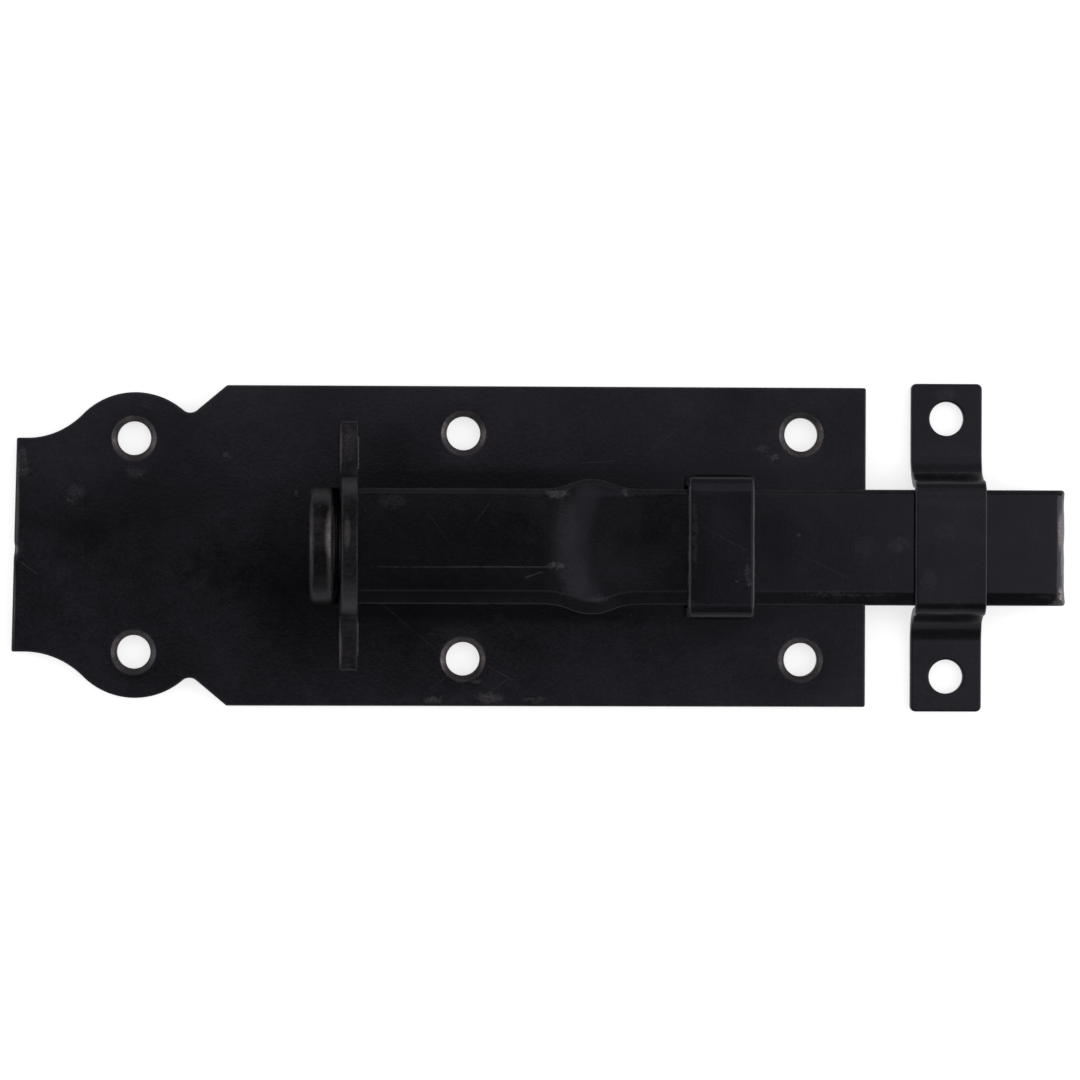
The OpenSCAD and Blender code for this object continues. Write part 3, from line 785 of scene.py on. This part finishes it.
def plate_shape(x, y, z):
    up = z / PLATE_T
    z2 = z - up * (0.055 + 0.030 * lump(x, y, 3, 52) + 0.007 * lump(x, y, 4, 19))
    # The blow that dented the left end.
    dent = np.exp(-(((y + 0.8) / 0.9) ** 2)) * np.clip(1 - (x - LEFT) / 0.9, 0, 1)
    x2 = x + 0.22 * dent * np.clip(up, 0, 1)
    # The left end is sheared a degree off square.
    x2 = x2 + 0.9 * (y + 20.0) / 40.0 * np.clip(1 - (x - LEFT) / 14.0, 0, 1) ** 1.5
    z2 = z2 - 0.15 * dent * up
    # Small nicks along the lower edge.
    for at, depth in ((-6.0, 0.10), (3.5, 0.13), (9.5, 0.08), (41.0, 0.06)):
        nick = np.exp(-(((x - at) / 0.7) ** 2)) * np.clip(1 - (y - PLATE_LO[1]) / 0.7, 0, 1) * up
        z2 = z2 - depth * nick
    # The metal is drawn down a little round each countersink.
    for cx, cy in centres:
        r = np.hypot(x - cx, y - cy)
        z2 = z2 - 0.008 * up * np.exp(-(((r - 4.2) / 1.1) ** 2))
    return x2, y, z2


# Edge wear is nearly doubled along the plate's lower edge: partly wear, partly a painted highlight that gives that edge
# a lighter line.
plate = blank("plate_body", plate_loop(), edge(PLATE_T, 0.14, 0.30, mid=3, rough=0.03), holes,
              np.arange(LEFT, RIGHT, 1.15), 1.15, plate_shape, [plate_mat, plate_edge], side_slot=1, wear_and_highlight=lambda x, y: 1.9 if y < PLATE_LO[1] + 0.5 else 1.0)


# ---------------------------------------------------------------- bolt
BOLT_W, BOLT_T, BOLT_Z = 10.85, 4.5, BOLT_LO[2]
BOLT_TOP = BOLT_Z + BOLT_T
BEND_R = 1.2
LUG_FACE = LUG_HI[0]
START = LUG_FACE + BEND_R
TIP = BOLT_HI[0]
HOLE_Z = MOUNTS["padlock_hole_bolt"]["pos_m"][2] / MM
HOLE_R = MOUNTS["padlock_hole_bolt"]["dims"]["r_mm"]
BULGE_X = LEFT + 108.2
ARC = (BEND_R + BOLT_T / 2) * math.pi / 2
LUG_RISE = HOLE_Z - (BOLT_TOP + BEND_R)
CENTRE_S = START - ARC - LUG_RISE


def bulge(x):
    return 1.86 * np.exp(-(np.abs(x - BULGE_X) / 4.9) ** 2.4)


def bolt_loop():
    loop = Loop()

    def run(a, b, sign):
        x, step_dir = a, (1 if b > a else -1)
        while (x - b) * step_dir < -1e-6:
            h = 1e-3
            slope = float(bulge(x + h) - bulge(x - h)) / (2 * h)
            n = np.array([-slope, 1.0]) / math.hypot(slope, 1)
            loop.add((x, sign * (BOLT_W + float(bulge(x)))), (n[0], sign * n[1]))
            step = 0.33 if START - ARC - 0.5 < x < START + 0.5 else (0.5 if abs(x - BULGE_X) < 11 else 1.0)
            x += step_dir * step

    loop.line((TIP, -BOLT_W + 0.75), (TIP, BOLT_W - 0.75), 0.6)
    loop.corner((TIP, BOLT_W), (1, 0), (0, 1), 0.7, k=6)
    run(TIP - 0.75, CENTRE_S, 1)
    loop.arc((CENTRE_S, 0.0), BOLT_W, math.pi / 2, 3 * math.pi / 2, 0.55)
    run(CENTRE_S, TIP - 0.75, -1)
    loop.corner((TIP, -BOLT_W), (0, -1), (1, 0), 0.7, k=6)
    # The rolled bar is rounder along one edge, and the cut tip and the lug are rounded least.
    x, y = np.array(loop.p).T
    side = np.where(y < 0, 1.0, 0.36)
    lug = np.clip((START - ARC - 1.0 - x) / 4, 0, 1)
    tip = np.clip((x - (TIP - 0.9)) / 0.5, 0, 1)
    k = side * (1 - lug) + 0.34 * lug
    loop.k = k * (1 - tip) + 0.3 * tip
    return loop


def bolt_shape(x, y, z):
    up = np.clip(z / BOLT_T, 0, 1)
    # The forged saddle between the stop bulges, and the slow ripple of a rolled bar.
    def ease(v):
        v = np.clip(v, 0, 1)
        return v * v * (3 - 2 * v)

    start = BULGE_X - 8.2 + 0.030 * y**2
    round_in = ease(np.hypot((x - BULGE_X - 8.0) / 13.0, y / 11.5))
    saddle = ease((x - start) / 8.4) * (1 - ease((x - BULGE_X - 8.5 - 0.05 * y) / 13.0)) * (1 - 0.30 * round_in)
    soft = np.clip((BOLT_W + 2 - np.abs(y)) / 3, 0, 1)
    z = z - up * soft * (0.27 * saddle + 0.016 + 0.014 * lump(x, y, 11, 30)) * np.clip((x - START) / 4, 0, 1)
    # The tip is dressed to a longer bevel than the sides.
    tip = np.clip((x - (TIP - 2.1)) / 2.1, 0, 1)
    z = z - up * (0.95 * tip**1.25 + 0.05 * tip * lump(y * 3, x, 5, 9))
    x = x - (0.10 * (0.5 + 0.5 * lump(y * 2, z, 6, 8)) + 0.22 * ease((y + 10.3) / 3.2) - 0.10 * ease((y - 7.0) / 3.5)) * np.clip((x - (TIP - 2.4)) / 2.4, 0, 1)
    u = START - x
    theta = np.clip(u / ARC, 0, 1) * math.pi / 2
    r = BEND_R + (BOLT_T - z)
    X = np.where(u < 0, x, START - r * np.sin(theta))
    Z = np.where(u < 0, BOLT_Z + z, BOLT_TOP + BEND_R - r * np.cos(theta) + np.clip(u - ARC, 0, None))
    # The lug's rim is rolled over: rounded at both faces, and dressed down towards the staple.
    t = (X - (LUG_FACE - BOLT_T / 2)) / (BOLT_T / 2)
    most = BOLT_W - (np.where(t < 0, 0.70, 0.22) * np.abs(np.clip(t, -1, 1)) ** 6 + 0.26 * np.clip(X - (LUG_FACE - 1.35), 0, 1.35)) * np.clip((u - ARC * 0.75) / 2.5, 0, 1)
    reach = np.where(Z > HOLE_Z, np.hypot(y, Z - HOLE_Z), np.abs(y))
    pull = np.where(u > ARC * 0.75, np.minimum(1.0, most / np.maximum(reach, 1e-6)), 1.0)
    y = y * pull
    Z = np.where(Z > HOLE_Z, HOLE_Z + (Z - HOLE_Z) * pull, Z)
    return X, y, Z


columns = np.concatenate([np.arange(CENTRE_S - BOLT_W, START - ARC - 0.5, 0.8), np.arange(START - ARC - 0.5, START + 0.5, 0.34),
                          np.arange(START + 0.5, BULGE_X - 12, 1.0), np.arange(BULGE_X - 12, BULGE_X + 14, 0.6), np.arange(BULGE_X + 14, TIP - 3, 1.0), np.arange(TIP - 3, TIP, 0.4)])
lug_rings = [(0.5, 0.0), (0.3, 0.0), (0.18, 0.04), (0.08, 0.12), (0.0, 0.3), (0.0, BOLT_T / 2), (0.0, BOLT_T - 0.3), (0.08, BOLT_T - 0.12), (0.18, BOLT_T - 0.04), (0.3, BOLT_T), (0.5, BOLT_T)]

# The rolled edge is a shallow bevel with a small round at its rim.
bolt_rings = [(0.7, 0.0)] + quarter(0.55, 4, False, BOLT_T) + [(0.0, 1.0), (0.0, 1.5), (0.0, 2.1), (0.0, 2.6), (0.0, 2.9), (0.0, 3.2), (0.0, 3.45), (0.03, 3.62), (0.11, 3.77), (0.25, 3.89), (0.45, 3.97), (0.9, 4.09), (1.4, 4.225),
                                                                 (1.8, 4.335), (1.98, 4.39), (2.12, 4.435), (2.26, 4.47), (2.42, 4.492), (2.6, BOLT_T), (2.85, BOLT_T)]
# Edge lightening on the bolt: full along its upper long edge, a tenth along the lower one.
bolt = blank("bolt_forged", bolt_loop(), bolt_rings, [(circle((CENTRE_S, 0.0), HOLE_R, 72), lug_rings)],
             columns, 0.95, bolt_shape, [bolt_mat, lug_mat], wear_and_highlight=lambda x, y: 1.0 if y > 0 else 0.12)
# The lug and its bend take the dimmer copy of the bolt's finish: painted shade.
for f in bolt.data.polygons:
    if f.center.x / MM < START - 0.4:
        f.material_index = 1


# ---------------------------------------------------------------- staple
def staple_loop():
    half, shoulder, lug, fillet = STAPLE_HI[1], 8.6, 12.8, 1.5
    slot_half, slot_top = 11.5, 7.9
    right = [(TENON_IN, 0.0, 0.35), (TENON_OUT, 0.0, 0.35), (TENON_OUT, PLATE_T, 0.0), (half, PLATE_T, 0.25), (half, shoulder, 0.9), (lug, shoulder, fillet)]
    loop = Loop()
    pts = right + [(lug, HOLE_Z, 0.0)]
    full = pts + [(-x, z, r) for x, z, r in reversed(pts)] + [(-TENON_IN, PLATE_T, 0.0), (-slot_half, PLATE_T, 0.25), (-slot_half, slot_top, 0.8), (slot_half, slot_top, 0.8), (slot_half, PLATE_T, 0.25), (TENON_IN, PLATE_T, 0.0)]
    made = rounded(full, 0.7)
    # The straight run across the lug's centre line is swapped for the round top.
    n = len(made.p)
    arc = Loop()
    arc.arc((0.0, HOLE_Z), lug, 0.0, math.pi, 0.6)
    placed = False
    for i in range(n):
        y, z = made.p[i]
        if abs(z - HOLE_Z) < 1e-6 and abs(y) <= lug + 1e-6:
            if not placed:
                for j in range(len(arc.p)):
                    loop.add(arc.p[j], arc.n[j])
                placed = True
            continue
        loop.add(made.p[i], made.n[i], made.r[i], made.c[i], made.m[i])
    return loop


STAPLE_T = STAPLE_HI[0] - STAPLE_LO[0]


def staple_shape(u, v, t):
    side = np.clip((v - 3) / 5, 0, 1)
    # The shoulders thin out and turn in a hair towards their ends, as a punched blank's do.
    out = np.clip((np.abs(u) - 15) / 8.5, 0, 1) * side
    t2 = t + (0.10 * out) * (1 - t / STAPLE_T) - 0.10 * out * (t / STAPLE_T)
    # The padlock lug is dressed back on its left face.
    t2 = t2 + 0.6 * np.clip((v - 13.0) / 13.0, 0, 1) * (1 - t / STAPLE_T)
    x = STAPLE_LO[0] + t2
    # Torn metal on the sheared edges.
    z = v - 0.07 * np.clip((v - 8.2) / 0.4, 0, 1) * (np.abs(u) > 14.3) * (0.5 + 0.5 * lump(u * 5, t * 4, 21, 9)) * (t / STAPLE_T)
    # The peened ends of the tenons.
    foot = np.clip(1 - v / 0.4, 0, 1)
    z = z + foot * 0.10 * (0.6 + 0.4 * lump(u * 4, t * 4, 8, 8))
    return x, u, z


staple_rings = edge(STAPLE_T, 0.62, 0.34, k_low=5, k_high=4, mid=4, rough=0.04)
staple_hole = [(0.6, 0.0), (0.42, 0.0), (0.26, 0.05), (0.1, 0.16), (0.0, 0.4), (0.0, 1.4), (0.02, 2.4), (0.0, STAPLE_T - 0.15), (0.05, STAPLE_T - 0.04), (0.15, STAPLE_T), (0.3, STAPLE_T)]
staple = blank("staple_stamped", staple_loop(), staple_rings, [(circle((0.0, HOLE_Z), HOLE_R, 72), staple_hole)],
               np.arange(-STAPLE_HI[1], STAPLE_HI[1], 0.9), 0.9, staple_shape, [staple_mat, staple_edge], side_slot=1)


# ---------------------------------------------------------------- guide loop
def strap(name, half_width, thick, sections, outline, rings, holes, fine_at, mats, centre_x, ripple=0.0, side_slot=0, finish=None):
    """A strap bent from a flat blank: X of the blank runs along the strap, and the sections say how it turns from its middle outwards."""

    def place(s, w, t):
        sign = np.where(s < 0, -1.0, 1.0)
        a = np.abs(s)
        y, z = np.zeros_like(a), np.zeros_like(a)
        start = 0.0
        for i, (kind, length, args) in enumerate(sections):
            last = i == len(sections) - 1
            here = (a >= start - 1e-9) & ((a <= start + length) | last)
            v = a - start
            if kind == "flat":
                y0, z0 = args
                yy, zz = y0 + v, z0 + t
            elif kind == "down":
                y0, z0 = args
                yy, zz = y0 + t, z0 - v
            elif kind == "over":
                cy, cz, r0 = args
                th = np.clip(v / length, 0, 1) * math.pi / 2
                yy, zz = cy + (r0 + t) * np.sin(th), cz + (r0 + t) * np.cos(th)
            else:
                cy, cz, r0 = args
                th = np.clip(v / length, 0, 1) * math.pi / 2
                yy, zz = cy - (r0 - t) * np.cos(th), cz - (r0 - t) * np.sin(th)
            y, z = np.where(here, yy, y), np.where(here, zz, z)
            start += length
        X, Y, Z = centre_x - w, sign * y, z
        if finish:
            X, Y, Z = finish(X, Y, Z, s, w, t)
        return X, Y, Z

    total = max(abs(x) for x, _ in outline.p)
    cols, s = [], -total
    while s < total:
        cols.append(s)
        s += 0.28 if any(a <= abs(s) <= b for a, b in fine_at) else 0.8
    return blank(name, outline, rings, holes, cols, 0.8, place, mats, side_slot=side_slot)


def fine_step(zones, fine=0.28, coarse=0.8):
    return lambda q: fine if any(a <= abs(q[0]) <= b for a, b in zones) else coarse


GUIDE_IN = GUIDE_HI[2] - GUIDE_T
ri = 0.45
flat, bend, leg = GUIDE_HALF - ri, (ri + GUIDE_T / 2) * math.pi / 2, GUIDE_IN - ri
total = flat + bend + leg
zones = [(flat - 0.4, flat + bend + 0.4)]
gw = (GUIDE_HI[0] - GUIDE_LO[0]) / 2
gt = GUIDE_TENON / 2
g_loop = rounded([(total, -gt, 0.3), (total, gt, 0.3), (total - PLATE_T, gt, 0.0), (total - PLATE_T, gw, 0.3), (-total + PLATE_T, gw, 0.3), (-total + PLATE_T, gt, 0.0),
                  (-total, gt, 0.3), (-total, -gt, 0.3), (-total + PLATE_T, -gt, 0.0), (-total + PLATE_T, -gw, 0.3), (total - PLATE_T, -gw, 0.3), (total - PLATE_T, -gt, 0.0)],
                 fine_step(zones))


def guide_finish(X, Y, Z, s, w, t):
    top = np.clip((Z - GUIDE_IN) / GUIDE_T, 0, 1)
    Z = Z - top * (0.03 + 0.02 * lump(X, Y, 17, 16)) * np.clip(1 - np.abs(s) / flat, 0, 1) ** 0.5
    # Bending narrows the outside of each corner.
    at = np.exp(-(((np.abs(s) - flat - bend / 2) / 1.1) ** 2))
    X = X + (X - GUIDE_X) * 0.012 * at * (1 - 2 * t / GUIDE_T) - (X - GUIDE_X) * 0.012 * at
    foot = np.clip(1 - Z / 0.3, 0, 1)
    return X, Y, Z + foot * 0.08 * (0.6 + 0.4 * lump(X * 4, Y * 4, 9, 8))


guide = strap("guide_strap", gw, GUIDE_T,
              [("flat", flat, (0.0, GUIDE_IN)), ("over", bend, (flat, GUIDE_IN - ri, ri)), ("down", leg, (GUIDE_HALF, GUIDE_IN - ri))],
              g_loop, edge(GUIDE_T, 0.15, 0.70, k_low=2, k_high=7, mid=1), [], zones, [guide_mat], GUIDE_X, finish=guide_finish)

# ---------------------------------------------------------------- keeper
KT = 1.5
K_IN = KEEP_HI[2] - KT
K_HALF = 11.2
K_X = (KEEP_LO[0] + KEEP_HI[0]) / 2
r1, r2 = 1.0, 5.0
k_flat, k_bend1 = K_HALF - r1, (r1 + KT / 2) * math.pi / 2
k_leg = (K_IN - r1) - (KT + r2)
k_bend2 = (r2 + KT / 2) * math.pi / 2
tab_y = K_HALF + KT + r2
k_tab = KEEP_HI[1] - tab_y
k_starts = np.cumsum([0, k_flat, k_bend1, k_leg, k_bend2])
k_total = k_starts[-1] + k_tab
kw = (KEEP_HI[0] - KEEP_LO[0]) / 2
k_zones = [(k_flat - 0.4, k_starts[2] + 0.4), (k_starts[3] - 0.4, k_starts[4] + 0.4)]
k_loop = rounded([(k_total, -kw, 1.0), (k_total, kw, 1.0), (-k_total, kw, 1.0), (-k_total, -kw, 1.0)], fine_step(k_zones))
k_hole = MOUNTS["keeper_screws"]["dims"]
hole_s = k_starts[4] + k_hole["spacing_y_mm"] / 2 - tab_y
k_rings = [(0.32, 0.0), (0.16, 0.0), (0.05, 0.05), (0.0, 0.16), (0.0, KT / 2), (0.0, KT - 0.26), (0.07, KT - 0.10), (0.18, KT - 0.02), (0.30, KT), (0.46, KT)]


def keeper_finish(X, Y, Z, s, w, t):
    a = np.abs(s)
    # The press leaves a slight crease beside each top bend, and the tabs are pressed a hair thinner, unevenly.
    crease = np.exp(-(((a - k_flat + 0.9) / 0.7) ** 2)) * (t / KT)
    Z = Z - 0.05 * crease
    at = np.exp(-(((a - k_starts[1] - k_bend1 / 2) / 1.2) ** 2)) + np.exp(-(((a - k_starts[3] - k_bend2 / 2) / 1.4) ** 2))
    X = X - (X - K_X) * 0.014 * at * (t / KT)
    top = np.clip((Z - K_IN) / KT, 0, 1)
    Z = Z - top * (0.04 * (1 - (Y / K_HALF) ** 2) + 0.012 + 0.012 * lump(X, Y, 31, 14))
    on_tab = np.clip((a - k_starts[4]) / 2, 0, 1) * np.clip(t / KT, 0, 1)
    Z = Z - on_tab * (0.010 + 0.010 * lump(X, Y, 33, 12))
    return X, Y, Z


keeper = strap("keeper_strap", kw, KT,
               [("flat", k_flat, (0.0, K_IN)), ("over", k_bend1, (k_flat, K_IN - r1, r1)), ("down", k_leg, (K_HALF, K_IN - r1)),
                ("under", k_bend2, (tab_y, KT + r2, KT + r2)), ("flat", k_tab, (tab_y, 0.0))],
               k_loop, edge(KT, 0.14, 0.34, k_low=2, k_high=5, mid=1),
               [(circle((-hole_s, 0.0), k_hole["hole_r_mm"]), k_rings), (circle((hole_s, 0.0), k_hole["hole_r_mm"]), k_rings)],
               k_zones, [keeper_mat], K_X, finish=keeper_finish)

for obj, body, nodes, slot in (
    (plate, "plate", ("base_plate",), "plate_finish"),
    (staple, "plate", ("staple",), "staple_finish"),
    (guide, "plate", ("guide_loop",), "guide_finish"),
    (bolt, "bolt", ("bolt", "bolt_lug"), "bolt_finish"),
    (keeper, "keeper", ("keeper",), "keeper_finish"),
):
    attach(obj, body)
    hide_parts(*nodes)
    flat_mod = obj.modifiers.new("even_shading", "WEIGHTED_NORMAL")
    flat_mod.mode = "FACE_AREA"
    flat_mod.weight = 70
    flat_mod.keep_sharp = True

# ---------------------------------------------------------------- floor, light and camera
mesh = bpy.data.meshes.new("floor")
size = 12.0
mesh.from_pydata([(-size, -size, 0), (size, -size, 0), (size, size, 0), (-size, size, 0)], [], [(0, 1, 2, 3)])
floor = bpy.data.objects.new("floor", mesh)
bpy.context.scene.collection.objects.link(floor)
floor.location.z = -0.0002
white = bpy.data.materials.new("pale_floor")
white.use_nodes = True
k = Nodes(white.node_tree)
white.node_tree.nodes.clear()
out = k.new("ShaderNodeOutputMaterial")
floor_p = k.new("ShaderNodeBsdfPrincipled")
k.link(floor_p.outputs[0], out.inputs[0])
floor_p.inputs["Roughness"].default_value = 0.9
floor_p.inputs["Emission Strength"].default_value = 0.66
# Painted pool of light: the floor's colour and glow fall from white near the middle to grey between 0.15 and 0.42 m
# out.
away = k.vmath("LENGTH", k.new("ShaderNodeTexCoord").outputs["Object"], out=1)
k.link(k.mix(k.ramp(away, 0.15, 0.42), (0.60, 0.60, 0.60), (0.42, 0.42, 0.42)), floor_p.inputs["Base Color"])
k.link(k.mix(k.ramp(away, 0.15, 0.42), (1.0, 1.0, 1.0), (0.5, 0.5, 0.5)), floor_p.inputs["Emission Color"])
mesh.materials.append(white)

world = bpy.data.worlds.new("studio")
bpy.context.scene.world = world
world.use_nodes = True
world.node_tree.nodes.clear()
k = Nodes(world.node_tree)
w_out = k.new("ShaderNodeOutputWorld")
back = k.new("ShaderNodeBackground")
k.link(back.outputs[0], w_out.inputs[0])
s = k.new("ShaderNodeSeparateXYZ")
k.link(k.vmath("NORMALIZE", k.new("ShaderNodeTexCoord").outputs["Generated"]), s.inputs[0])
high = k.math("MULTIPLY", k.math("ARCCOSINE", k.math("MINIMUM", k.math("MAXIMUM", s.outputs[2], 0.0), 0.999999)), 2 / math.pi, clamp=True)


def profile(points):
    """Brightness from straight overhead (0) to the horizon (90 degrees)."""
    n = k.new("ShaderNodeFloatCurve")
    c = n.mapping.curves[0]
    c.points[0].location = (0.0, points[0][1])
    c.points[1].location = (1.0, points[-1][1])
    for a, v in points[1:-1]:
        c.points.new(a / 90, v)
    for q in c.points:
        q.handle_type = "AUTO_CLAMPED"
    n.mapping.update()
    k.link(high, n.inputs["Value"])
    return n.outputs[0]


right = profile([(0, 0.34), (5, 0.42), (10, 0.58), (20, 0.56), (45, 0.60), (70, 0.80), (90, 1.00)])
left = profile([(0, 0.44), (5, 0.46), (10, 0.42), (20, 0.34), (45, 0.30), (70, 0.60), (90, 0.90)])
upper = profile([(0, 0.46), (4, 0.50), (12, 0.46), (40, 0.42), (52, 0.28), (78, 0.24), (90, 0.24)])
lower = profile([(0, 0.46), (3, 0.42), (7, 0.26), (14, 0.20), (26, 0.13), (46, 0.13), (60, 0.20), (78, 0.26), (90, 0.24)])
flat_len = k.math("MAXIMUM", k.math("SQRT", k.math("ADD", k.math("MULTIPLY", s.outputs[0], s.outputs[0]), k.math("MULTIPLY", s.outputs[1], s.outputs[1]))), 0.0001)
to_side = k.ramp(k.math("DIVIDE", k.math("ABSOLUTE", s.outputs[0]), flat_len), 0.45, 0.92)
to_upper = k.ramp(k.math("DIVIDE", s.outputs[1], flat_len), -0.35, 0.35)
to_right = k.ramp(s.outputs[0], -0.05, 0.05)
around = k.mixf(to_side, k.mixf(to_upper, lower, upper), k.mixf(to_right, left, right))
# The dark patch straight overhead, longer along the bolt than across it.
u = k.math("DIVIDE", s.outputs[0], k.math("MAXIMUM", s.outputs[2], 0.05))
v = k.math("DIVIDE", s.outputs[1], k.math("MAXIMUM", s.outputs[2], 0.05))
u, v = k.math("MULTIPLY", k.math("ADD", u, 0.004), 1 / 0.125), k.math("MULTIPLY", k.math("ADD", v, 0.007), 1 / 0.030)
r = k.math("SQRT", k.math("ADD", k.math("MULTIPLY", u, u), k.math("MULTIPLY", v, v)))
k.link(k.math("MULTIPLY", k.math("MULTIPLY", around, k.ramp(r, 0.42, 1.30, 0.05, 1.0)), 1.8), back.inputs["Strength"])
back.inputs["Color"].default_value = (1.0, 0.99, 1.02, 1)


def lamp(name, at, aim, w, h, watts, colour=(1, 1, 1)):
    data = bpy.data.lights.new(name, "AREA")
    data.shape = "RECTANGLE"
    data.size, data.size_y, data.energy, data.color = w, h, watts, colour
    o = bpy.data.objects.new(name, data)
    bpy.context.scene.collection.objects.link(o)
    o.location = at
    o.rotation_mode = "QUATERNION"
    o.rotation_quaternion = (Vector(aim) - Vector(at)).to_track_quat("-Z", "Y")
    return o


lamp("soft_left", (-0.95, 0.05, 0.34), (0, 0, 0), 0.6, 0.9, 2.6)
lamp("soft_right", (1.05, 0.0, 0.36), (0.02, 0, 0), 0.6, 0.9, 3.2)
lamp("soft_front", (0.1, -1.0, 0.30), (0, 0, 0), 1.0, 0.5, 0.5)

camera_data = bpy.data.cameras.new("camera")
camera = bpy.data.objects.new("camera", camera_data)
bpy.context.scene.collection.objects.link(camera)
bpy.context.scene.camera = camera
camera_data.sensor_width = 36.0
FRAME_C = np.array([LEFT + 98.74, 1.2, PLATE_T])
EYE = np.array([-12.0, 1.2, 850.0])
camera_data.lens = 36.0 * float(np.linalg.norm(EYE - FRAME_C)) / 202.50
camera_data.clip_start, camera_data.clip_end = 0.01, 20
camera.location = Vector((EYE * MM).tolist())
aim = Vector(((FRAME_C - EYE)).tolist()).normalized()
up = Vector((math.sin(math.radians(-0.2)), math.cos(math.radians(-0.2)), 0))
x_axis = aim.cross(up).normalized()
y_axis = x_axis.cross(aim).normalized()
from mathutils import Matrix

camera.rotation_mode = "QUATERNION"
camera.rotation_quaternion = Matrix((x_axis, y_axis, -aim)).transposed().to_quaternion()

bpy.context.scene.view_settings.view_transform = "Standard"
bpy.context.scene.view_settings.look = "None"
bpy.context.scene.view_settings.exposure = 0.0
bpy.context.scene.view_settings.gamma = 1.0

bpy.context.view_layer.update()
